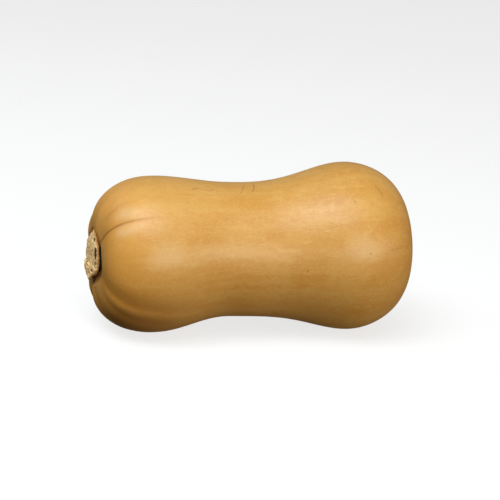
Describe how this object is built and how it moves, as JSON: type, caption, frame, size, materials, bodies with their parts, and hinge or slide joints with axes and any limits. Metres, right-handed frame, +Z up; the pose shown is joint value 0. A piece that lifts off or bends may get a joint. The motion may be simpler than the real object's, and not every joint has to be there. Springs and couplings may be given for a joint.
{
  "type": "butternut squash",
  "caption": "Whole ripe butternut squash lying on its side: stout neck, slight waist, rounder bulb and a corky stem scar.",
  "frame": {"origin": "middle of the bottom of the box round the whole object, on the surface that the squash rests on", "axes": "+X along the growth axis from the stem end to the blossom end, which rises about 2 degrees towards the blossom end; +Z up, away from the surface; +Y the far side when the stem end is on the left"},
  "size_m": [0.2116, 0.1118, 0.1109],
  "materials": {
    "squash_skin": "satin",
    "stem_cork": "matte"
  },
  "bodies": {
    "root": {"squash_fruit": "squash_skin", "stem_stump": "stem_cork"}
  },
  "joints": []
}
